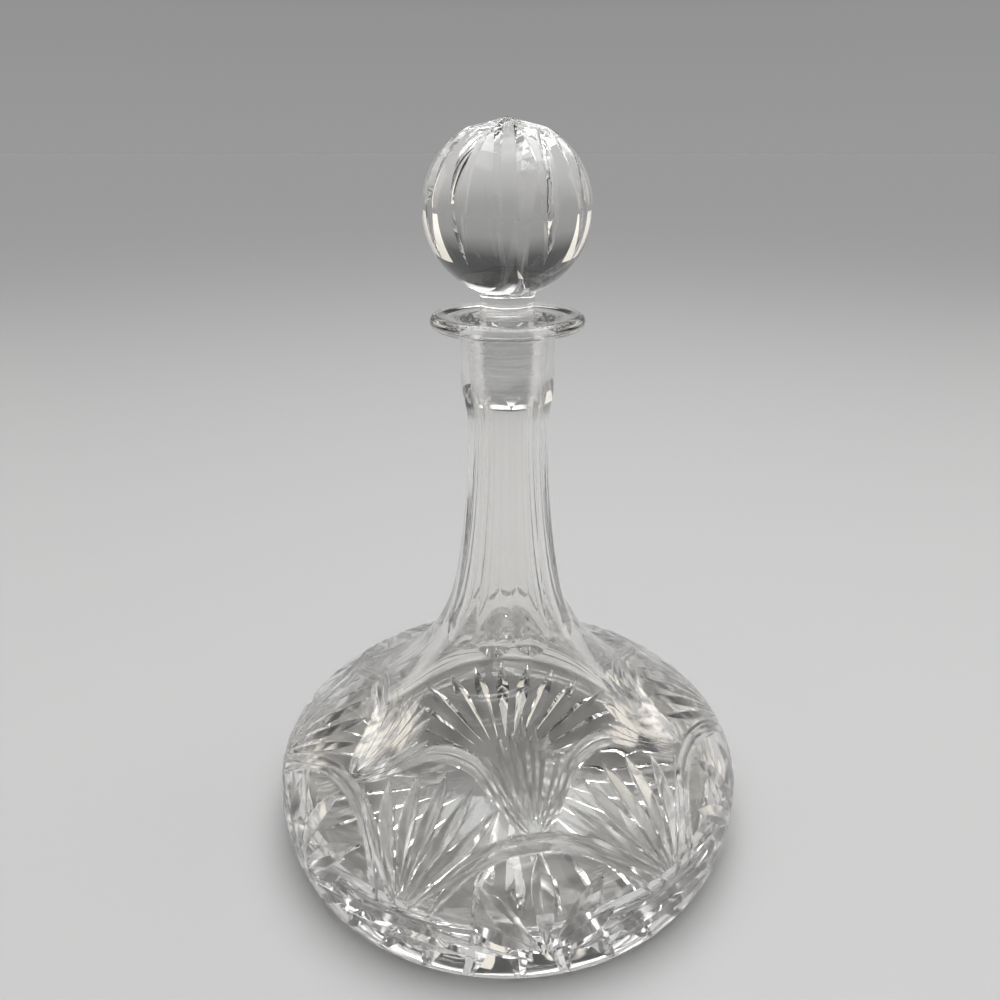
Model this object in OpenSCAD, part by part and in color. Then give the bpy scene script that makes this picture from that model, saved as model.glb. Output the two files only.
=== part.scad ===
// Ship's decanter: a squat cut-glass bottle with a wide base and a fluted ball stopper.
// The base stands on Z = 0, the axis of the bottle is Z, and the front faces -Y.

/* [Body] */
// Widest diameter of the body
body_d = 190; // [184:1:196]
// Diameter of the body just above the base bevel
base_d = 183; // [180:1:186]
// Height of the widest part of the body
belly_z = 22; // [20:0.5:24]
// Width and height of the bevel round the underside
base_bevel = 1.5; // [1:0.1:2]
// Radius where the shoulder turns into the flare
shoulder_r = 59.5; // [58:0.5:61]
// Height where the shoulder turns into the flare
shoulder_z = 53; // [52:0.5:54]
// Fall of the shoulder there, radius per height
shoulder_slope = 1.4; // [1.3:0.05:1.5]
// Thickness of the wall of the body
wall = 9; // [8:0.1:9.5]
// Thickness of the base under the chamber
base_t = 16; // [14:0.5:17]

/* [Neck] */
// Radius at the foot of the neck
neck_foot_r = 24; // [23:0.5:25]
// Height of the foot of the neck
neck_foot_z = 95; // [94:0.5:97]
// Fall of the flare at the foot of the neck, radius per height
neck_foot_slope = 0.38; // [0.34:0.01:0.42]
// Radius of the neck at its waist
waist_r = 15.2; // [14.8:0.1:15.8]
// Height of the waist
waist_z = 170; // [168:1:172]
// Radius of the plain collar under the lip
collar_r = 16.7; // [16:0.1:17.5]
// Height of the foot of the collar
collar_z = 186; // [184:1:188]
// Smallest radius of the channel in the neck
channel_r = 7.9; // [7.5:0.1:8]

/* [Lip] */
// Diameter of the flat round lip
lip_d = 54.2; // [50:0.2:58]
// Thickness of the lip
lip_t = 5; // [4:0.2:6]
// Height of the top of the lip
lip_z = 211; // [209:0.5:214]
// Depth of the shallow dish in the top of the lip
lip_dish = 0.8; // [0.4:0.1:1.2]
// Radius of the fillet under the lip
lip_fillet = 2.5; // [1.5:0.1:3]

/* [Stopper] */
// Height of the whole decanter with its stopper in
total_h = 274; // [272:0.5:278]
// Diameter of the ball
ball_d = 57; // [54:0.5:58]
// Radius of the stem under the ball
stem_r = 9.5; // [9:0.1:9.7]
// Radius of the fillet between ball and stem
stem_fillet = 3; // [2:0.1:4]
// Radius of the ground plug at the top of the lip
plug_r = 9.7; // [9.7:0.1:10.2]
// Length of the ground plug below the top of the lip
plug_l = 32; // [28:1:34]
// Taper of the ground joint: one in this many, on the diameter
taper = 10; // [9:1:12]
// Gap all round the plug in its seat
seat_gap = 0.04; // [0.02:0.01:0.06]

/* [Flutes] */
// Number of flat flutes round the neck
neck_flutes = 10; // [8:1:12]
// Height of the foot of the neck flutes
neck_flute_foot = 86; // [85:1:88]
// Length over which a neck flute runs out at each end
neck_flute_runout = 7; // [6:0.5:9]
// Number of pointed flutes round the ball
ball_flutes = 12; // [10:1:12]
// Depth of a ball flute at its deepest
ball_flute_depth = 2.2; // [1.8:0.1:2.4]
// Width of the floor of a ball flute
ball_flute_floor = 0.6; // [0.4:0.1:0.8]
// Width of a ball flute at its deepest, across the surface
ball_flute_w = 8.4; // [7.6:0.2:8.6]
// Angle from the top of the ball to the foot of its flutes
ball_flute_foot = 122; // [118:1:124]

/* [Hidden] */
$fn = 96;
curve_steps = 12;
fine_steps = 36;
short_steps = 6;
glass = [0.86, 0.90, 0.90, 0.45];
glass_bright = [0.92, 0.95, 0.96, 0.55];

body_r = body_d / 2;
base_r = base_d / 2;
lip_r = lip_d / 2;
ball_r = ball_d / 2;
ball_z = total_h - ball_r;
plug_foot_z = lip_z - plug_l;
plug_foot_r = plug_r - plug_l / taper / 2;

// Turn of the front ridge of the neck and of the front flute of the ball, from the front to the right
neck_turn = 5;
ball_turn = -2;
front = -90;

// Smooth curve between two points with two handles
function curve(a, b, c, d, steps, from = 0) = [
    for (i = [from:steps])
        let (t = i / steps, u = 1 - t)
            u * u * u * a + 3 * u * u * t * b + 3 * u * t * t * c + t * t * t * d
];

// Round stretch about a centre
function arc(centre, r, a0, a1, steps, from = 0) = [
    for (i = [from:steps])
        let (a = a0 + (a1 - a0) * i / steps)
            centre + r * [cos(a), sin(a)]
];

// Handle lengths, in height, of the curves that make the outline
side_handle = 9;
belly_handle = 19;
shoulder_handle = 5;
flare_handle = 7;
neck_foot_handle = 20;
neck_handle = 15;
waist_handle = 24;
collar_handle = 7;

// Outline of the body's outside from base to lip, as radius and height
side = curve([base_r, base_bevel], [base_r + 2, base_bevel + side_handle / 2],
             [body_r, belly_z - side_handle], [body_r, belly_z], short_steps);
shoulder = curve([body_r, belly_z], [body_r, belly_z + belly_handle],
                 [shoulder_r + shoulder_slope * shoulder_handle, shoulder_z - shoulder_handle],
                 [shoulder_r, shoulder_z], curve_steps, 1);
function flare_outline(steps) = curve(
    [shoulder_r, shoulder_z],
    [shoulder_r - shoulder_slope * flare_handle, shoulder_z + flare_handle],
    [neck_foot_r + neck_foot_slope * neck_foot_handle, neck_foot_z - neck_foot_handle],
    [neck_foot_r, neck_foot_z], steps, 1);
flare = flare_outline(curve_steps);
neck = curve([neck_foot_r, neck_foot_z],
             [neck_foot_r - neck_foot_slope * neck_handle, neck_foot_z + neck_handle],
             [waist_r, waist_z - waist_handle], [waist_r, waist_z], curve_steps, 1);
collar = curve([waist_r, waist_z], [waist_r, waist_z + collar_handle],
               [collar_r, collar_z - collar_handle], [collar_r, collar_z], short_steps, 1);

// Lip: fillet under it, round rim and a shallow dish that falls to the mouth
lip_foot_z = lip_z - lip_t;
rim_r = lip_t / 2;
mouth_r = plug_r + seat_gap;
lip_outline = concat(
    arc([collar_r + lip_fillet, lip_foot_z - lip_fillet], lip_fillet, 180, 90, short_steps),
    arc([lip_r - rim_r, lip_z - rim_r], rim_r, -90, 90, curve_steps),
    [[mouth_r + rim_r, lip_z - lip_dish], [mouth_r, lip_z - lip_dish - rim_r / 2]]);

// Outline of the hollow, from the mouth down the ground seat and the channel to the chamber
seat_foot_r = plug_foot_r + seat_gap;
channel_top_z = plug_foot_z - 6;
chamber_r = body_r - wall;
chamber_corner = belly_z - base_t;
hollow_shoulder_r = shoulder_r - wall * 0.65;
hollow_shoulder_z = shoulder_z - wall * 0.8;
hollow_neck_r = neck_foot_r - wall * 0.85;
hollow_belly_handle = belly_handle - wall * 0.6;
hollow = concat(
    [[seat_foot_r, plug_foot_z]],
    curve([channel_r, channel_top_z], [channel_r, channel_top_z - waist_handle],
          [hollow_neck_r - neck_foot_slope * neck_handle, neck_foot_z + neck_handle],
          [hollow_neck_r, neck_foot_z], curve_steps),
    curve([hollow_neck_r, neck_foot_z],
          [hollow_neck_r + neck_foot_slope * neck_foot_handle, neck_foot_z - neck_foot_handle],
          [hollow_shoulder_r - shoulder_slope * flare_handle, hollow_shoulder_z + flare_handle],
          [hollow_shoulder_r, hollow_shoulder_z], curve_steps, 1),
    curve([hollow_shoulder_r, hollow_shoulder_z],
          [hollow_shoulder_r + shoulder_slope * shoulder_handle, hollow_shoulder_z - shoulder_handle],
          [chamber_r, belly_z + hollow_belly_handle], [chamber_r, belly_z], curve_steps, 1),
    arc([chamber_r - chamber_corner, base_t + chamber_corner], chamber_corner, 0, -90, short_steps, 1),
    [[0, base_t]]);

body_outline = concat(
    [[0, 0], [base_r - base_bevel, 0]],
    side, shoulder, flare, neck, collar, lip_outline, hollow);

// Flat flute of the neck: a slab whose inner face follows the neck and runs out at both ends.
// Its bends lie a little above those of the neck's outline.
neck_flat = cos(180 / neck_flutes);
flute_top = collar_z + 1;
flute_reach = 1.3;
flute_out_r = 40;
flute_w = 20;
flute_lift = 0.4;
function runout(z) = max(0, 1 - (z - neck_flute_foot) / neck_flute_runout,
                         1 - (flute_top - z) / neck_flute_runout);
flute_face = [
    for (p = concat(flare_outline(fine_steps), neck, collar, [[collar_r, flute_top]]))
        if (p[1] >= neck_flute_foot)
            [p[0] * (neck_flat + flute_reach * (1 - neck_flat) * pow(runout(p[1]), 2)), p[1] + flute_lift]
];

module neck_flute() {
    foot = flute_face[0];
    rotate([90, 0, 0])
        linear_extrude(height = flute_w, center = true)
            polygon(concat(flute_face, [[flute_out_r, flute_top + flute_lift], [flute_out_r, foot[1]]]));
}

// Outside of the body as radius and height at a length up from the base bevel
skin = concat(side, shoulder, flare);
function run(i) = i == 0 ? 0 : run(i - 1) + norm(skin[i] - skin[i - 1]);
skin_r = [for (i = [0:len(skin) - 1]) [run(i), skin[i][0]]];
skin_z = [for (i = [0:len(skin) - 1]) [run(i), skin[i][1]]];
function around(angle, r, z) = [r * cos(front + angle), r * sin(front + angle), z];
function on_skin(p) = around(p[0], lookup(p[1], skin_r), lookup(p[1], skin_z));
function out_of_skin(p) =
    let (dr = lookup(p[1] + 1.5, skin_r) - lookup(p[1] - 1.5, skin_r),
         dz = lookup(p[1] + 1.5, skin_z) - lookup(p[1] - 1.5, skin_z))
        around(p[0], dz, -dr) / norm([dr, dz]);
function over_skin(p) = on_skin(p) + cut_lift * out_of_skin(p);

// Mitre cut with pointed ends along a route, whose points are an angle, a length up the outside and a depth.
// Its ends are lifted a little off the glass, so that each cut runs out in a clean point.
cut_clear = 6;
cut_lift = 0.3;
module mitre(route, half_angle) {
    last = len(route) - 1;
    section = [
        for (i = [1:last - 1])
            let (at = on_skin(route[i]), out = out_of_skin(route[i]), depth = route[i][2],
                 way = cross(on_skin(route[i + 1]) - on_skin(route[i - 1]), out),
                 half = (depth + cut_clear) * tan(half_angle) * way / norm(way))
                each [at - depth * out, at + cut_clear * out + half, at + cut_clear * out - half]
    ];
    end = len(section) + 1;
    polyhedron(
        points = concat([over_skin(route[0])], section, [over_skin(route[last])]),
        faces = concat(
            [[0, 2, 1], [0, 1, 3], [0, 3, 2]],
            [for (b = [1:3:end - 5])
                each [[b, b + 1, b + 4], [b, b + 4, b + 3], [b, b + 5, b + 2], [b, b + 3, b + 5],
                      [b + 1, b + 2, b + 5], [b + 1, b + 5, b + 4]]],
            [[end, end - 3, end - 2], [end, end - 1, end - 3], [end, end - 2, end - 1]]));
}

// Fan of leaves, each with its offset at the tip, the length up to its tip and its width
leaf_start = 0.22;
module fan(centre, root, leaves, half_angle) {
    for (l = leaves)
        for (way = l[0] == 0 ? [1] : [1, -1])
            mitre([for (t = [leaf_start, (1 + leaf_start) / 2, 1])
                       [centre + way * l[0] * pow(t, 1.2), root + (l[1] - root) * t, l[2] / 2 / tan(half_angle)]],
                  half_angle);
}

// Cut that mirrors about its middle, through points of one half
module bow(centre, half, half_angle) {
    last = len(half) - 1;
    mitre(concat([for (p = half) [centre - p[0], p[1], p[2]]],
                 [for (i = [last - 1:-1:0]) [centre + half[i][0], half[i][1], half[i][2]]]),
          half_angle);
}

// Repeats of the pattern, the turn of its front one and the half turn between two of them
repeats = 6;
pattern_turn = 7.6;
between = 180 / repeats;

// Leaves of the fans, and one half of each arch and swag
tall_leaves = [[0, 75.6, 6.5], [10.7, 72.2, 6.5], [19.5, 65.2, 6], [25.5, 57.5, 4.5]];
short_leaves = [[0, 49.8, 8.5], [14.3, 39.5, 8.5], [15.5, 28.5, 7]];
upper_leaves = [[0, 98, 5.5], [6.5, 94, 5.5], [12.3, 90.5, 7], [17.5, 84, 5]];
short_arch = [[27.3, 26.2, 0], [21.3, 37.5, 1.8], [13, 48.2, 1.8], [0, 53, 1.8]];
tall_arch = [[29.1, 55.2, 0], [22, 65.6, 1.8], [13, 76.4, 1.8], [0, 81, 1.8]];
upper_swag = [[28.5, 12.3, 0], [14, 19.8, 1.8], [0, 22.8, 2.1]];
lower_swag = [[17, 12.8, 0], [0, 15.2, 1.9]];

// One repeat of the cut pattern: three fans, the arches over the two lower ones and the swags at the foot
module cut_repeat() {
    fan(between, 26.5, tall_leaves, 50);
    fan(0, 14.5, short_leaves, 53);
    fan(0, 55.5, upper_leaves, 50);
    bow(0, short_arch, 60);
    bow(between, tall_arch, 60);
    bow(between, upper_swag, 52);
    bow(between, lower_swag, 52);
}

// The bottle, blown in one piece with its neck and lip and then cut
module decanter_body() {
    color(glass)
        difference() {
            rotate_extrude() polygon(body_outline);
            for (i = [0:neck_flutes - 1])
                rotate(front + neck_turn + (i + 0.5) * 360 / neck_flutes) neck_flute();
            for (i = [0:repeats - 1])
                rotate(pattern_turn + i * 360 / repeats) cut_repeat();
        }
}

// Pointed flute of the ball: its bed is an arc from the top of the ball to the flute's foot.
// It starts where neighbouring flutes have drawn apart enough to leave a land between them.
flute_mid = ball_flute_foot / 2;
flute_half_chord = ball_r * sin(flute_mid);
flute_rise = ball_r * (1 - cos(flute_mid)) - ball_flute_depth;
flute_bed_r = (pow(flute_half_chord, 2) + pow(flute_rise, 2)) / (2 * flute_rise);
flute_shift = flute_bed_r - ball_r + ball_flute_depth;
flute_start = asin(ball_flute_w / (2 * ball_r * sin(180 / ball_flutes)));
flute_past = 6;
flute_cut_h = 3;
flute_splay = (ball_flute_w - ball_flute_floor) / 2 / ball_flute_depth;
flute_section = [
    [0, -ball_flute_floor / 2], [0, ball_flute_floor / 2],
    [flute_cut_h, ball_flute_floor / 2 + flute_cut_h * flute_splay],
    [flute_cut_h, -ball_flute_floor / 2 - flute_cut_h * flute_splay]
];

module ball_flute() {
    sweep = ball_flute_foot + flute_past - flute_start;
    translate([-flute_shift * sin(flute_mid), 0, -flute_shift * cos(flute_mid)])
        rotate([90, 0, 0])
            rotate([0, 0, 90 - flute_start - sweep])
                rotate_extrude(angle = sweep)
                    translate([flute_bed_r, 0]) polygon(flute_section);
}

// Stem and plug below the ball, with the fillet that runs into the ball
fillet_x = stem_r + stem_fillet;
fillet_z = ball_z - sqrt(pow(ball_r + stem_fillet, 2) - pow(fillet_x, 2));
fillet_turn = atan2(ball_z - fillet_z, -fillet_x);
plug_edge = 0.8;
stem_outline = concat(
    [[0, plug_foot_z], [plug_foot_r - plug_edge, plug_foot_z],
     [plug_foot_r + plug_edge / taper / 2, plug_foot_z + plug_edge], [plug_r, lip_z], [stem_r, lip_z + plug_edge]],
    arc([fillet_x, fillet_z], stem_fillet, 180, fillet_turn, short_steps),
    [[0, ball_z - stem_r]]);

// The stopper, one piece of glass with a ground plug
module stopper() {
    color(glass_bright)
        difference() {
            union() {
                translate([0, 0, ball_z]) sphere(ball_r);
                rotate_extrude() polygon(stem_outline);
            }
            translate([0, 0, ball_z])
                for (i = [0:ball_flutes - 1])
                    rotate(front + ball_turn + i * 360 / ball_flutes) ball_flute();
        }
}

decanter_body();
stopper();
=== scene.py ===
import math

import bpy
from mathutils import Matrix, Vector


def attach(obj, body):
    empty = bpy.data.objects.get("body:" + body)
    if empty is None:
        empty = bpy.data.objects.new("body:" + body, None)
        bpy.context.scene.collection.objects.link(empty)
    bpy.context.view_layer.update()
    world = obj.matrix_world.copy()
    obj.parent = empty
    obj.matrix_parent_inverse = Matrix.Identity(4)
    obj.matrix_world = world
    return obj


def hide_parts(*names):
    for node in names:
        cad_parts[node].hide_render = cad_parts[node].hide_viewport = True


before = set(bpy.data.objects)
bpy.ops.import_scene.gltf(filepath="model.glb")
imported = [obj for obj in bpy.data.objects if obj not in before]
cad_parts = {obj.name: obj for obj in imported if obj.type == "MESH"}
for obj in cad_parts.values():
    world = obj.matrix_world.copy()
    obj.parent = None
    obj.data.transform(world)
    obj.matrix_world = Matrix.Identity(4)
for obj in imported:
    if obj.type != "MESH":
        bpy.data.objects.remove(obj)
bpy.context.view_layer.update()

# The bottle
# One piece of crystal, blown in a mould: a heavy flat base, a wide belly, a flaring neck and a round lip.
# Its hollow follows the outside, and the mouth is ground to a taper that seats the stopper.
mm = 0.001
turn_steps = 240
body_r = 95 * mm
base_r = 91.5 * mm
base_bevel = 1.5 * mm
belly_z = 22 * mm
shoulder_r = 59.5 * mm
shoulder_z = 53 * mm
shoulder_slope = 1.4
wall = 9 * mm
base_t = 16 * mm
neck_foot_r = 24 * mm
neck_foot_z = 95 * mm
neck_foot_slope = 0.38
waist_r = 15.2 * mm
waist_z = 170 * mm
collar_r = 16.7 * mm
collar_z = 186 * mm
channel_r = 7.9 * mm
lip_r = 27.1 * mm
lip_t = 5 * mm
lip_z = 211 * mm
lip_dish = 0.8 * mm
lip_dish_r = 20 * mm
lip_fillet = 2.5 * mm
dish_edge = 1 * mm
dish_lip_handle = 1.5 * mm
dish_floor_handle = 0.5 * mm
mouth_r = 9.74 * mm
seat_foot_r = 8.14 * mm
seat_foot_z = 179 * mm
seat_run_in = 6 * mm
neck_wall = wall * 0.85
shoulder_wall_r = wall * 0.65
shoulder_wall_z = wall * 0.8
belly_wall_z = wall * 0.6

side_lean = 2 * mm
side_handle = 9 * mm
belly_handle = 19 * mm
shoulder_handle = 5 * mm
flare_handle = 7 * mm
neck_foot_handle = 20 * mm
neck_handle = 15 * mm
waist_handle = 24 * mm
collar_handle = 7 * mm


def curve(start, start_handle, end_handle, end, steps):
    """Points of a smooth curve between two points with two handles, without the first."""
    points = []
    for step in range(1, steps + 1):
        t = step / steps
        near = 1 - t
        weights = (near ** 3, 3 * near * near * t, 3 * near * t * t, t ** 3)
        corners = (start, start_handle, end_handle, end)
        points.append(tuple(sum(w * c[axis] for w, c in zip(weights, corners)) for axis in (0, 1)))
    return points


def arc(centre, radius, first, last, steps):
    """Points of a round stretch about a centre, from one angle in degrees to another."""
    angles = [math.radians(first + (last - first) * step / steps) for step in range(steps + 1)]
    return [(centre[0] + radius * math.cos(a), centre[1] + radius * math.sin(a)) for a in angles]


side = [(base_r, base_bevel)] + curve(
    (base_r, base_bevel), (base_r + side_lean, base_bevel + side_handle / 2),
    (body_r, belly_z - side_handle), (body_r, belly_z), 8)
shoulder = curve(
    (body_r, belly_z), (body_r, belly_z + belly_handle),
    (shoulder_r + shoulder_slope * shoulder_handle, shoulder_z - shoulder_handle),
    (shoulder_r, shoulder_z), 40)
flare = curve(
    (shoulder_r, shoulder_z), (shoulder_r - shoulder_slope * flare_handle, shoulder_z + flare_handle),
    (neck_foot_r + neck_foot_slope * neck_foot_handle, neck_foot_z - neck_foot_handle),
    (neck_foot_r, neck_foot_z), 36)
neck = curve(
    (neck_foot_r, neck_foot_z), (neck_foot_r - neck_foot_slope * neck_handle, neck_foot_z + neck_handle),
    (waist_r, waist_z - waist_handle), (waist_r, waist_z), 20)
collar = curve(
    (waist_r, waist_z), (waist_r, waist_z + collar_handle),
    (collar_r, collar_z - collar_handle), (collar_r, collar_z), 8)
rim_r = lip_t / 2
lip = (
    arc((collar_r + lip_fillet, lip_z - lip_t - lip_fillet), lip_fillet, 180, 90, 12)
    + arc((lip_r - rim_r, lip_z - rim_r), rim_r, -90, 90, 24)
    + curve((lip_r - rim_r, lip_z), (lip_dish_r + dish_lip_handle, lip_z),
            (lip_dish_r + dish_floor_handle, lip_z - lip_dish),
            (lip_dish_r - dish_edge, lip_z - lip_dish), 8)
    + [(mouth_r + rim_r, lip_z - lip_dish), (mouth_r, lip_z - lip_dish - rim_r / 2)])

chamber_r = body_r - wall
chamber_corner = belly_z - base_t
hollow_neck_r = neck_foot_r - neck_wall
hollow_shoulder = (shoulder_r - shoulder_wall_r, shoulder_z - shoulder_wall_z)
channel_top_z = seat_foot_z - seat_run_in
hollow = (
    [(seat_foot_r, seat_foot_z), (channel_r, channel_top_z)]
    + curve((channel_r, channel_top_z), (channel_r, channel_top_z - waist_handle),
            (hollow_neck_r - neck_foot_slope * neck_handle, neck_foot_z + neck_handle),
            (hollow_neck_r, neck_foot_z), 16)
    + curve((hollow_neck_r, neck_foot_z),
            (hollow_neck_r + neck_foot_slope * neck_foot_handle, neck_foot_z - neck_foot_handle),
            (hollow_shoulder[0] - shoulder_slope * flare_handle, hollow_shoulder[1] + flare_handle),
            hollow_shoulder, 20)
    + curve(hollow_shoulder,
            (hollow_shoulder[0] + shoulder_slope * shoulder_handle, hollow_shoulder[1] - shoulder_handle),
            (chamber_r, belly_z + belly_handle - belly_wall_z), (chamber_r, belly_z), 16)
    + arc((chamber_r - chamber_corner, belly_z), chamber_corner, 0, -90, 12)[1:]
    + [(0, base_t)])
outside = side + shoulder + flare
bottle_outline = [(0, 0), (base_r - base_bevel, 0)] + outside + neck + collar + lip + hollow
merge_gap = 0.001 * mm


def spun(name, outline):
    """A closed piece of glass turned about the axis from an outline of radius and height."""
    bpy.ops.object.select_all(action="DESELECT")
    bpy.ops.mesh.primitive_circle_add(vertices=len(outline))
    piece = bpy.context.object
    piece.name = name
    for vertex, (radius, height) in zip(piece.data.vertices, outline):
        vertex.co = (radius, 0, height)
    bpy.ops.object.mode_set(mode="EDIT")
    bpy.ops.mesh.select_all(action="DESELECT")
    bpy.ops.mesh.select_mode(type="EDGE")
    bpy.ops.object.mode_set(mode="OBJECT")
    for edge in piece.data.edges:
        edge.select = all(piece.data.vertices[v].co.x == 0 for v in edge.vertices)
    bpy.ops.object.mode_set(mode="EDIT")
    bpy.ops.mesh.delete(type="EDGE")
    bpy.ops.mesh.select_mode(type="VERT")
    bpy.ops.mesh.select_all(action="SELECT")
    bpy.ops.mesh.spin(steps=turn_steps, angle=2 * math.pi, center=(0, 0, 0), axis=(0, 0, 1))
    bpy.ops.mesh.select_all(action="SELECT")
    bpy.ops.mesh.remove_doubles(threshold=merge_gap)
    bpy.ops.mesh.normals_make_consistent(inside=False)
    bpy.ops.object.mode_set(mode="OBJECT")
    return piece


bottle = spun("cut_bottle", bottle_outline)


def place(angle, radius, height):
    """A point at an angle in degrees from the front round to the right."""
    turn = math.radians(angle)
    return Vector((radius * math.sin(turn), -radius * math.cos(turn), height))


def wheel_bar(stations):
    """A bar whose cross-sections lie at the stations of a cut, each a list of as many corners."""
    sides = len(stations[0])
    bpy.ops.object.select_all(action="DESELECT")
    bpy.ops.mesh.primitive_circle_add(vertices=sides, radius=1, fill_type="NGON")
    bar = bpy.context.object
    bpy.ops.object.mode_set(mode="EDIT")
    for _ in stations[1:]:
        bpy.ops.mesh.extrude_region_move(TRANSFORM_OT_translate={"value": (0, 0, 1)})
    bpy.ops.object.mode_set(mode="OBJECT")
    for vertex in bar.data.vertices:
        corner = round(math.atan2(vertex.co.y, vertex.co.x) / (2 * math.pi) * sides) % sides
        vertex.co = stations[round(vertex.co.z)][corner]
    return bar


def ring_of(bar, copies):
    """Repeats a bar round the axis and turns its faces outwards."""
    bpy.ops.object.mode_set(mode="EDIT")
    bpy.ops.mesh.select_all(action="SELECT")
    if copies > 1:
        bpy.ops.mesh.spin(dupli=True, steps=copies - 1, angle=2 * math.pi * (copies - 1) / copies,
                          center=(0, 0, 0), axis=(0, 0, 1))
        bpy.ops.mesh.select_all(action="SELECT")
    bpy.ops.mesh.normals_make_consistent(inside=False)
    bpy.ops.object.mode_set(mode="OBJECT")
    return bar


def grind(piece, bar):
    """Takes a bar's shape out of a piece of glass."""
    modifier = piece.modifiers.new("grind", "BOOLEAN")
    modifier.operation = "DIFFERENCE"
    modifier.solver = "MANIFOLD"
    modifier.object = bar
    bpy.ops.object.select_all(action="DESELECT")
    bpy.context.view_layer.objects.active = piece
    bpy.ops.object.modifier_apply(modifier=modifier.name)
    bpy.data.meshes.remove(bar.data)


# The neck's flutes
# Ten flat panels ground down the neck, with arched tops under the collar. Each starts on the flare with
# a small slanting facet, cut a little deeper than the panel, which ends below in a scallop.
neck_flutes = 10
neck_turn = 5
flute_foot = 86 * mm
flute_top = collar_z + 1 * mm
flute_facet_top = 93.7 * mm
flute_facet_slant = 0.27
flute_facet_depth = 0.8 * mm
flute_facet_end = 2 * mm
flute_runout = 7 * mm
flute_reach = 1.3
flute_half_w = 10 * mm
flute_out_r = 40 * mm
flute_lift = 0.4 * mm
neck_flat = math.cos(math.pi / neck_flutes)


def flute_depth(radius, height):
    """Depth of the middle of a flute under the neck's round outside."""
    flat = radius * (1 - neck_flat)
    slant = (height - flute_foot) * flute_facet_slant
    step = flat + flute_facet_depth * max(0, 1 - (height - flute_facet_top) / flute_facet_end)
    top = flat * (1 - flute_reach * max(0, 1 - (flute_top - height) / flute_runout))
    return min(slant, step, top)


def flute_stations(angle):
    """Sections of one flat panel's slab, whose inner face follows the neck and runs out at both ends."""
    stations = []
    turn = Matrix.Rotation(math.radians(angle), 3, "Z")
    for radius, height in flare + neck + collar + [(collar_r, flute_top)]:
        if height < flute_foot - flute_facet_end:
            continue
        inner = flute_depth(radius, height) - radius
        z = height + flute_lift
        corners = [(flute_half_w, inner, z), (flute_half_w, -flute_out_r, z),
                   (-flute_half_w, -flute_out_r, z), (-flute_half_w, inner, z)]
        stations.append([turn @ Vector(c) for c in corners])
    return stations


for half in (0.5, 1.5):
    slab = wheel_bar(flute_stations(neck_turn + half * 360 / neck_flutes))
    grind(bottle, ring_of(slab, neck_flutes // 2))

# The cut pattern
# Six repeats of mitre cuts, ground with a pointed wheel and left satin, with polished edges: fans of leaves
# standing between round arches, a second row of arches and fans on the shoulder, and swags over the foot.
repeats = 6
pattern_turn = 7.6
between = 180 / repeats
cut_stations = 24
cut_top = 78 * mm
cut_skim = 0.12 * mm
cut_limit = 7 * mm
cut_clear = 0.8 * mm
cut_lift = 0.08 * mm
cut_floor = 0.02 * mm
edge_ease = 0.2 * mm
edge_half_angle = 72
skin_probe = 1.5 * mm
route_probe = 0.01
knot_slack = 1e-9

reach = [0]
for (r0, z0), (r1, z1) in zip(outside, outside[1:]):
    reach.append(reach[-1] + math.hypot(r1 - r0, z1 - z0))


def skin(length):
    """Radius and height of the outside at a length in metres up from the base bevel."""
    for index in range(1, len(reach)):
        if length <= reach[index] or index == len(reach) - 1:
            share = (length - reach[index - 1]) / (reach[index] - reach[index - 1])
            (r0, z0), (r1, z1) = outside[index - 1], outside[index]
            return r0 + (r1 - r0) * share, z0 + (z1 - z0) * share


def on_skin(angle, length):
    """A point of the outside and the direction out of the glass there."""
    radius, height = skin(length)
    r0, z0 = skin(length - skin_probe)
    r1, z1 = skin(length + skin_probe)
    out = Vector((z1 - z0, r0 - r1)).normalized()
    return place(angle, radius, height), place(angle, out.x, out.y)


def mitre(route, width, half_angle, swell):
    """Ground V cut with eased edges, along a route of angles in degrees and lengths in metres."""
    splay = math.tan(math.radians(half_angle))
    edge_splay = math.tan(math.radians(edge_half_angle))
    edge_w = edge_ease * edge_splay
    steps = [index / cut_stations for index in range(cut_stations + 1)]
    stations = []
    for t in steps:
        point, out = on_skin(*route(t))
        ahead, _ = on_skin(*route(min(1, t + route_probe)))
        behind, _ = on_skin(*route(max(0, t - route_probe)))
        across = (ahead - behind).cross(out).normalized()
        half = width * swell(t) / 2
        depth = (edge_ease + (half - edge_w) / splay if half > edge_w else half / edge_splay) - cut_lift
        wall_rise = max(cut_floor, depth - edge_ease)
        wall_w = wall_rise * splay
        clear_w = wall_w + (depth + cut_clear - wall_rise) * edge_splay
        foot = point - out * depth
        edge = foot + out * wall_rise
        clear = point + out * cut_clear
        stations.append([foot, edge + across * wall_w, clear + across * clear_w,
                         clear - across * clear_w, edge - across * wall_w])
    grind(bottle, ring_of(wheel_bar(stations), repeats))


def leaf_swell(t):
    """Width of a leaf from its root to its pointed tip, widest past the middle."""
    return math.sin(math.pi * t ** 1.5) ** 0.9


def band_swell(t):
    """Width of an arch's mitre, even but for its pointed feet."""
    return min(1, 8 * t, 8 * (1 - t)) ** 0.7


def lens_swell(t):
    """Width of a swag, widest in the middle and pointed at both ends."""
    return math.sin(math.pi * t) ** 0.8


def leaf(centre, root, tip_offset, tip, width, half_angle):
    """One leaf of a fan, from the fan's root to its tip; lengths in millimetres."""
    def route(t):
        return pattern_turn + centre + tip_offset * t ** 1.2, (root + (tip - root) * t) * mm
    mitre(route, width * mm, half_angle, leaf_swell)


def fan(centre, root, half_angle, leaves):
    """A fan of leaves, each an offset and length of its tip and a width, that mirrors about its middle."""
    for offset, tip, width in leaves:
        for way in ((1, -1) if offset else (1,)):
            leaf(centre, root, way * offset, tip, width, half_angle)


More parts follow.
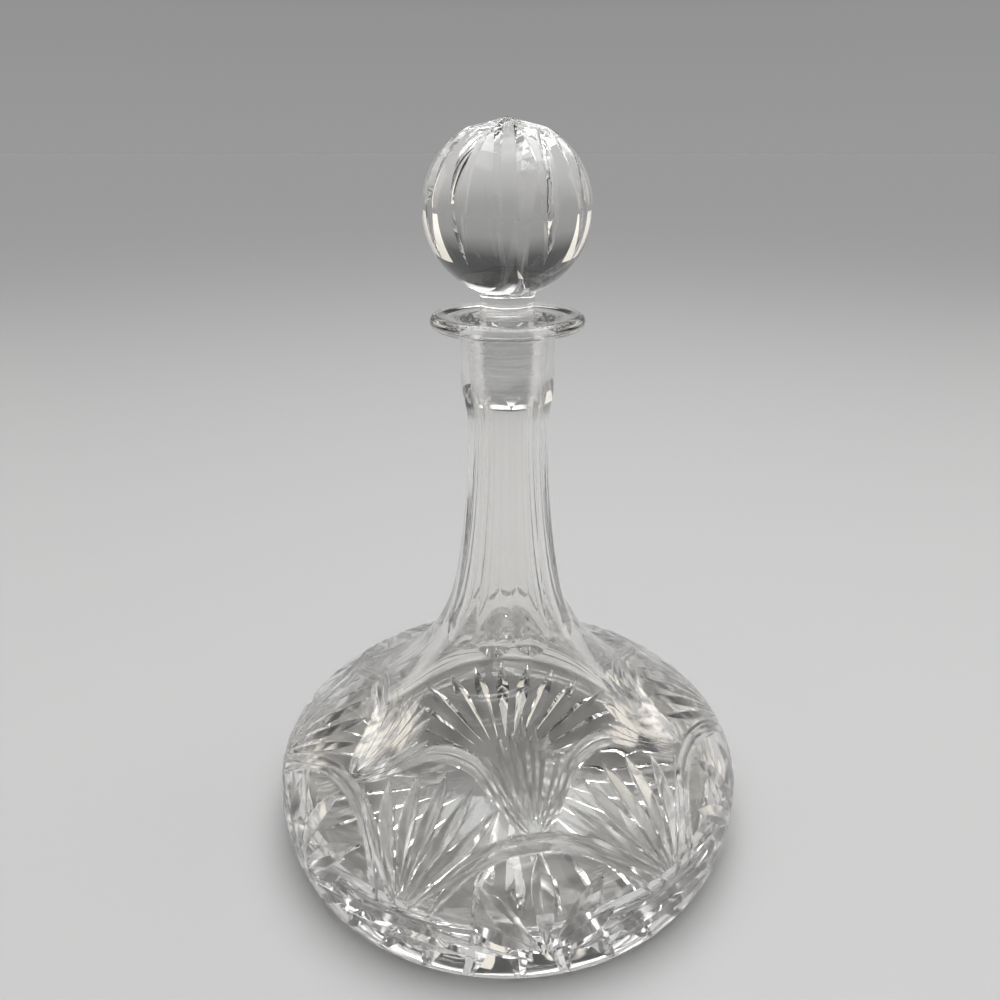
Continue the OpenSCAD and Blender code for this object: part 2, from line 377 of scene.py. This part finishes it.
def bow(centre, half, width, half_angle, swell):
    """One cut that mirrors about its middle, through points of one half given as offset and length."""
    points = [Vector(p) for p in half] + [Vector((-p[0], p[1])) for p in reversed(half[:-1])]
    gaps = [(b - a).length for a, b in zip(points, points[1:])]
    total = sum(gaps)
    knots = [sum(gaps[:index]) / total for index in range(len(points))]

    def route(t):
        index = max(k for k in range(len(points) - 1) if knots[k] <= t + knot_slack)
        before = points[max(0, index - 1)]
        start, end = points[index], points[index + 1]
        after = points[min(len(points) - 1, index + 2)]
        s = (t - knots[index]) / (knots[index + 1] - knots[index])
        smooth = 0.5 * (2 * start + (end - before) * s
                        + (2 * before - 5 * start + 4 * end - after) * s * s
                        + (3 * start - before - 3 * end + after) * s ** 3)
        return pattern_turn + centre + smooth.x, smooth.y * mm
    mitre(route, width * mm, half_angle, swell)


# Tall fans between the arches
fan(between, root=26.5, half_angle=50,
    leaves=((0, 75.6, 6.5), (10.7, 72.2, 6.5), (19.5, 65.2, 6), (25.5, 57.5, 4.5)))

# Short fans under the arches
fan(0, root=14.5, half_angle=53, leaves=((0, 49.8, 8.5), (14.3, 39.5, 8.5), (15.5, 28.5, 7)))

# Upper fans, from the tops of the arches
fan(0, root=55.5, half_angle=56,
    leaves=((0, 98, 5.5), (6.5, 94, 5.5), (12.3, 90.5, 7), (17.5, 84, 5)))

# Arches over the short fans, each of two mitres
bow(0, [(-29.5, 26.5), (-22.5, 38), (-18.5, 45), (-14, 49.5), (-8, 53.3), (0, 54.7)],
    width=3.6, half_angle=48, swell=band_swell)
bow(0, [(-25, 26), (-20, 37), (-16.5, 42.5), (-12, 47), (-7, 50), (0, 51.3)],
    width=3.6, half_angle=48, swell=band_swell)

# Arches over the tall fans, each of two mitres
bow(between, [(-29, 55.5), (-26, 60.5), (-22, 67.5), (-18, 73), (-13, 78.3), (-8, 81.3), (0, 82.8)],
    width=3.8, half_angle=48, swell=band_swell)
bow(between, [(-29.3, 55), (-26, 58), (-22, 63.8), (-18, 69), (-13, 74.5), (-8, 77.8), (0, 79.2)],
    width=3.8, half_angle=48, swell=band_swell)

# Swags under the tall fans
bow(between, [(-28.5, 12.3), (-20, 16.8), (-10, 21.3), (0, 22.8)],
    width=5.5, half_angle=62, swell=lens_swell)
bow(between, [(-17, 12.8), (-9, 14.7), (0, 15.2)], width=5, half_angle=62, swell=lens_swell)

# The star under the base
# Pointed rays ground into the underside from its middle nearly to the rim, which stays flat to stand on.
star_rays = 32
star_groups = 4
star_turn = 171.5
star_r = 88 * mm
star_root = 18 * mm
star_widest_r = 61 * mm
star_width = 8 * mm
star_half_angle = 54
star_clear = 0.5 * mm
worn_r = 79 * mm


def star_ray(angle):
    """Sections of one ray's V cut, which widens from the middle of the base and ends in a point."""
    splay = math.tan(math.radians(star_half_angle))
    stations = []
    for step in range(cut_stations + 1):
        radius = star_root + (star_r - star_root) * step / cut_stations
        left = (star_r - radius) / (star_r - star_widest_r)
        grown = (radius - star_root) / (star_widest_r - star_root)
        width = star_width * min(grown, left)
        depth = width / 2 / splay - cut_lift
        across = place(angle + 90, (depth + star_clear) * splay, 0)
        foot = place(angle, radius, -star_clear)
        stations.append([place(angle, radius, depth), foot + across, foot - across])
    return stations


for first in range(star_groups):
    ray = wheel_bar(star_ray(star_turn + first * 360 / star_rays))
    grind(bottle, ring_of(ray, star_rays // star_groups))


def set_stops(elements, stops):
    """Fills a ramp with grey levels at their positions."""
    elements.remove(elements[1])
    for index, (position, level) in enumerate(stops):
        stop = elements.new(position) if index else elements[0]
        stop.position = position
        stop.color = (level, level, level, 1)


class Field:
    """A value on its way through a material's nodes, so that maths on it is written as an expression."""

    def __init__(self, tree, socket=None):
        self.tree = tree
        self.socket = socket

    def node(self, kind, settings, inputs, output=0):
        made = self.tree.nodes.new(kind)
        for name, value in settings.items():
            if name == "stops":
                set_stops(made.color_ramp.elements, value)
            else:
                setattr(made, name, value)
        for key, value in inputs.items():
            if isinstance(value, Field):
                self.tree.links.new(value.socket, made.inputs[key])
            else:
                made.inputs[key].default_value = value
        return Field(self.tree, made.outputs[output] if made.outputs else None)

    def math(self, operation, first, second):
        return self.node("ShaderNodeMath", {"operation": operation}, {0: first, 1: second})

    def __add__(self, other):
        return self.math("ADD", self, other)

    __radd__ = __add__

    def __sub__(self, other):
        return self.math("SUBTRACT", self, other)

    def __rsub__(self, other):
        return self.math("SUBTRACT", other, self)

    def __mul__(self, other):
        return self.math("MULTIPLY", self, other)

    __rmul__ = __mul__


def new_material(name):
    """An empty node material and a field to build it from."""
    material = bpy.data.materials.new(name)
    material.use_nodes = True
    material.node_tree.nodes.clear()
    return material, Field(material.node_tree)


crystal_tint = (0.988, 0.984, 0.972, 1)
crystal_ior = 1.53


def polished_crystal(name):
    """Clear crystal with the slight waves that polishing leaves and faint smears of handling."""
    material, start = new_material(name)
    where = start.node("ShaderNodeTexCoord", {}, {}, "Object")
    waves = start.node("ShaderNodeTexNoise", {}, {"Vector": where, "Scale": 90, "Detail": 1})
    smears = start.node("ShaderNodeTexNoise", {}, {"Vector": where, "Scale": 35, "Detail": 4})
    normal = start.node("ShaderNodeBump", {}, {"Height": waves, "Strength": 0.06, "Distance": 0.4 * mm})
    glass = start.node("ShaderNodeBsdfPrincipled", {}, {
        "Base Color": crystal_tint, "IOR": crystal_ior, "Transmission Weight": 1.0,
        "Roughness": smears * 0.03, "Normal": normal})
    start.node("ShaderNodeOutputMaterial", {}, {"Surface": glass})
    return material


def ground_crystal(name):
    """Matt ground crystal with the fine rings of the grinding."""
    material, start = new_material(name)
    where = start.node("ShaderNodeTexCoord", {}, {}, "Object")
    squeezed = start.node("ShaderNodeMapping", {}, {"Vector": where, "Scale": (30, 30, 700)})
    rings = start.node("ShaderNodeTexNoise", {}, {
        "Vector": squeezed, "Scale": 1, "Detail": 4, "Roughness": 0.7})
    grain = start.node("ShaderNodeTexNoise", {}, {"Vector": where, "Scale": 1500, "Detail": 2})
    streaks = start.node("ShaderNodeValToRGB", {"stops": ((0.4, 0.78), (0.6, 0.99))}, {"Fac": rings})
    normal = start.node("ShaderNodeBump", {}, {
        "Height": rings + grain * 0.25, "Strength": 0.8, "Distance": 0.3 * mm})
    glass = start.node("ShaderNodeBsdfPrincipled", {}, {
        "Base Color": streaks, "IOR": crystal_ior, "Transmission Weight": 1.0,
        "Roughness": 0.05 + rings * 0.2, "Normal": normal})
    start.node("ShaderNodeOutputMaterial", {}, {"Surface": glass})
    return material


def cut_crystal(name):
    """Crystal as the wheel and the polishing leave it in a cut: satin, with a fine uneven grain."""
    material, start = new_material(name)
    where = start.node("ShaderNodeTexCoord", {}, {}, "Object")
    patches = start.node("ShaderNodeTexNoise", {}, {"Vector": where, "Scale": 120, "Detail": 3})
    grain = start.node("ShaderNodeTexNoise", {}, {"Vector": where, "Scale": 700, "Detail": 2})
    normal = start.node("ShaderNodeBump", {}, {"Height": grain, "Strength": 0.06, "Distance": 0.1 * mm})
    glass = start.node("ShaderNodeBsdfPrincipled", {}, {
        "Base Color": crystal_tint, "IOR": crystal_ior, "Transmission Weight": 1.0,
        "Roughness": 0.14 + patches * 0.18, "Normal": normal})
    start.node("ShaderNodeOutputMaterial", {}, {"Surface": glass})
    return material


smooth_angle = 11
flat_facing = 0.9
side_facing = 0.8
seat_skim = 0.1 * mm


def finish_glass(piece, clear, finishes):
    """Smooths a piece up to its cut edges and gives faces finishes, each a material and a test of place."""
    bpy.ops.object.select_all(action="DESELECT")
    piece.select_set(True)
    bpy.context.view_layer.objects.active = piece
    bpy.ops.object.shade_smooth_by_angle(angle=math.radians(smooth_angle))
    piece.data.materials.clear()
    for material in [clear] + [finish for finish, _ in finishes]:
        piece.data.materials.append(material)
    for face in piece.data.polygons:
        found = [index for index, (_, holds) in enumerate(finishes, 1) if holds(face.center, face.normal)]
        face.material_index = found[0] if found else 0


def in_seat(centre, normal):
    """Whether a face of the bottle lies on the ground seat inside its mouth."""
    reach_in = math.hypot(centre.x, centre.y)
    return reach_in < mouth_r + seat_skim and centre.z > seat_foot_z


def in_cut(centre, normal):
    """Whether a face of the bottle lies in the cut pattern or on the worn rim that it stands on."""
    reach_in = math.hypot(centre.x, centre.y)
    if normal.z < -flat_facing and reach_in > worn_r:
        return True
    if not base_bevel < centre.z < cut_top:
        return False
    above = next(index for index, (_, height) in enumerate(outside) if height > centre.z)
    (r0, z0), (r1, z1) = outside[max(0, above - 1)], outside[above]
    surface_r = r0 + (r1 - r0) * (centre.z - z0) / (z1 - z0) if above else r1
    return cut_skim < surface_r - reach_in < cut_limit


clear_bottle = polished_crystal("bottle_polished_crystal")
cut_bottle = cut_crystal("bottle_cut_crystal")
ground_seat = ground_crystal("bottle_ground_seat")
finish_glass(bottle, clear_bottle, [(ground_seat, in_seat), (cut_bottle, in_cut)])
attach(bottle, "decanter")
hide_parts("decanter_body")

# The stopper
# A solid ball of crystal on a short stem and a tapered plug, pressed in one piece. The plug is ground to
# its seat, and twelve flutes with flat floors and pointed feet are cut down the ball from a peak at its top.
total_h = 274 * mm
ball_r = 28.5 * mm
ball_z = total_h - ball_r
stem_r = 9.5 * mm
stem_fillet = 3 * mm
plug_r = 9.7 * mm
plug_foot_r = 8.1 * mm
plug_edge = 0.8 * mm
taper = 10
fillet_x = stem_r + stem_fillet
fillet_z = ball_z - math.sqrt((ball_r + stem_fillet) ** 2 - fillet_x ** 2)
fillet_end = math.degrees(math.atan2(ball_z - fillet_z, -fillet_x))
ball_start = math.degrees(math.atan2(fillet_z - ball_z, fillet_x))
stopper_outline = (
    [(0, seat_foot_z), (plug_foot_r - plug_edge, seat_foot_z),
     (plug_foot_r + plug_edge / taper / 2, seat_foot_z + plug_edge),
     (plug_r, lip_z), (stem_r, lip_z + plug_edge)]
    + arc((fillet_x, fillet_z), stem_fillet, 180, fillet_end, 8)
    + arc((0, ball_z), ball_r, ball_start, 90, 40)[1:-1]
    + [(0, total_h)])
stopper = spun("fluted_stopper", stopper_outline)

ball_flutes = 12
ball_flute_groups = 3
ball_flute_steps = 40
ball_flute_overrun = 0.015
ball_turn = -2
ball_flute_depth = 2.2 * mm
ball_flute_floor = 2.2 * mm
ball_flute_half_angle = 50
ball_flute_foot = 123
ball_flute_full = (22, 72)
peak_r = 4.5 * mm


def ball_flute(angle):
    """Sections of one flute with eased edges, from the top of the ball to its pointed foot."""
    splay = math.tan(math.radians(ball_flute_half_angle))
    edge_splay = math.tan(math.radians(edge_half_angle))
    across = place(angle + 90, 1, 0)
    stations = []
    for step in range(ball_flute_steps + 1):
        share = step / ball_flute_steps * (1 + 2 * ball_flute_overrun) - ball_flute_overrun
        polar = ball_flute_foot * share
        fade_in, fade_out = ball_flute_full
        rise = min(1, polar / fade_in)
        fall = max(0, (polar - fade_out) / (ball_flute_foot - fade_out))
        depth = ball_flute_depth * (1 - (1 - rise) ** 2 - fall ** 2)
        down = math.radians(polar)
        out = place(angle, math.sin(down), math.cos(down))
        floor_w = max(cut_floor, ball_flute_floor / 2 * (1 - fall))
        wall_rise = max(cut_floor, depth - edge_ease)
        wall_w = floor_w + wall_rise * splay
        clear_w = wall_w + (depth + cut_clear - wall_rise) * edge_splay
        foot = Vector((0, 0, ball_z)) + out * (ball_r - depth)
        edge = foot + out * wall_rise
        clear = foot + out * (depth + cut_clear)
        stations.append([foot + across * floor_w, edge + across * wall_w, clear + across * clear_w,
                         clear - across * clear_w, edge - across * wall_w, foot - across * floor_w])
    return stations


for first in range(ball_flute_groups):
    bar = wheel_bar(ball_flute(ball_turn + first * 360 / ball_flutes))
    grind(stopper, ring_of(bar, ball_flutes // ball_flute_groups))


def on_plug(centre, normal):
    """Whether a face of the stopper lies on the ground side of its plug."""
    return centre.z < lip_z - lip_dish and math.hypot(normal.x, normal.y) > side_facing


def on_peak(centre, normal):
    """Whether a face of the stopper lies on the peak of its ball, where the flutes meet."""
    return centre.z > ball_z and math.hypot(centre.x, centre.y) < peak_r


clear_stopper = polished_crystal("stopper_polished_crystal")
ground_plug = ground_crystal("stopper_ground_plug")
cut_stopper = cut_crystal("stopper_cut_crystal")
finish_glass(stopper, clear_stopper, [(ground_plug, on_plug), (cut_stopper, on_peak)])
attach(stopper, "stopper")
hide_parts("stopper")

# The studio
# A pale floor under a soft sky: pale at the horizon, darker above it and bright overhead.
scene = bpy.context.scene
scene.view_settings.view_transform = "Standard"
scene.cycles.max_bounces = 24
scene.cycles.transmission_bounces = 24
scene.cycles.glossy_bounces = 12

floor_size = 30
floor_gap = 0.2 * mm
floor_colour = (0.5, 0.5, 0.5, 1)
bpy.ops.object.select_all(action="DESELECT")
bpy.ops.mesh.primitive_plane_add(size=floor_size, location=(0, 0, -floor_gap))
floor = bpy.context.object
floor.name = "studio_floor"
floor_paint, start = new_material("studio_pale_floor")
paint = start.node("ShaderNodeBsdfPrincipled", {}, {"Base Color": floor_colour, "Roughness": 0.6})
start.node("ShaderNodeOutputMaterial", {}, {"Surface": paint})
floor.data.materials.append(floor_paint)

sky_levels = ((0, 0.318), (0.12, 0.29), (0.3, 0.07), (0.4, 0.05), (0.74, 0.05), (0.8, 1.55), (1, 1.55))
world = bpy.data.worlds.new("studio_sky")
world.use_nodes = True
world.node_tree.nodes.clear()
scene.world = world
start = Field(world.node_tree)
where = start.node("ShaderNodeTexCoord", {}, {}, "Generated")
height = start.node("ShaderNodeSeparateXYZ", {}, {0: where}, "Z")
level = start.node("ShaderNodeValToRGB", {"stops": sky_levels}, {"Fac": height})
sky = start.node("ShaderNodeBackground", {}, {"Color": level, "Strength": 1.0})
start.node("ShaderNodeOutputWorld", {}, {"Surface": sky})


def softbox(name, position, target, width, height, power, colour):
    """A soft light that faces a point and stays out of the picture."""
    lamp = bpy.data.lights.new(name, "AREA")
    lamp.color = colour
    lamp.shape = "RECTANGLE"
    lamp.size = width
    lamp.size_y = height
    lamp.energy = power
    holder = bpy.data.objects.new(name, lamp)
    scene.collection.objects.link(holder)
    aim = Vector(target) - Vector(position)
    holder.matrix_world = Matrix.Translation(position) @ aim.to_track_quat("-Z", "Y").to_matrix().to_4x4()
    holder.visible_camera = False
    return holder


white = (1, 1, 1)
warm_white = (1, 0.94, 0.84)
softbox("top_softbox", (0.1, 0.1, 1.25), target=(0, 0, 0), width=1.0, height=1.0, power=10.4, colour=white)
for name, x in (("left_softbox", -1.25), ("right_softbox", 1.25)):
    side_light = softbox(name, (x, 0.8, 0.6), target=(0, 0, 0.1), width=1.0, height=0.8, power=2.2,
                         colour=warm_white)
    side_light.visible_diffuse = False

look_down = 22.11
camera = bpy.data.cameras.new("photo_camera")
camera.sensor_width = 36
camera.lens = 30.4
camera.shift_x = -0.0075
camera.shift_y = -0.0206
camera.clip_start = 0.01
viewer = bpy.data.objects.new("photo_camera", camera)
viewer.location = (0, -0.29445, 0.26797)
viewer.rotation_euler = (math.radians(90 - look_down), 0, 0)
scene.collection.objects.link(viewer)
scene.camera = viewer
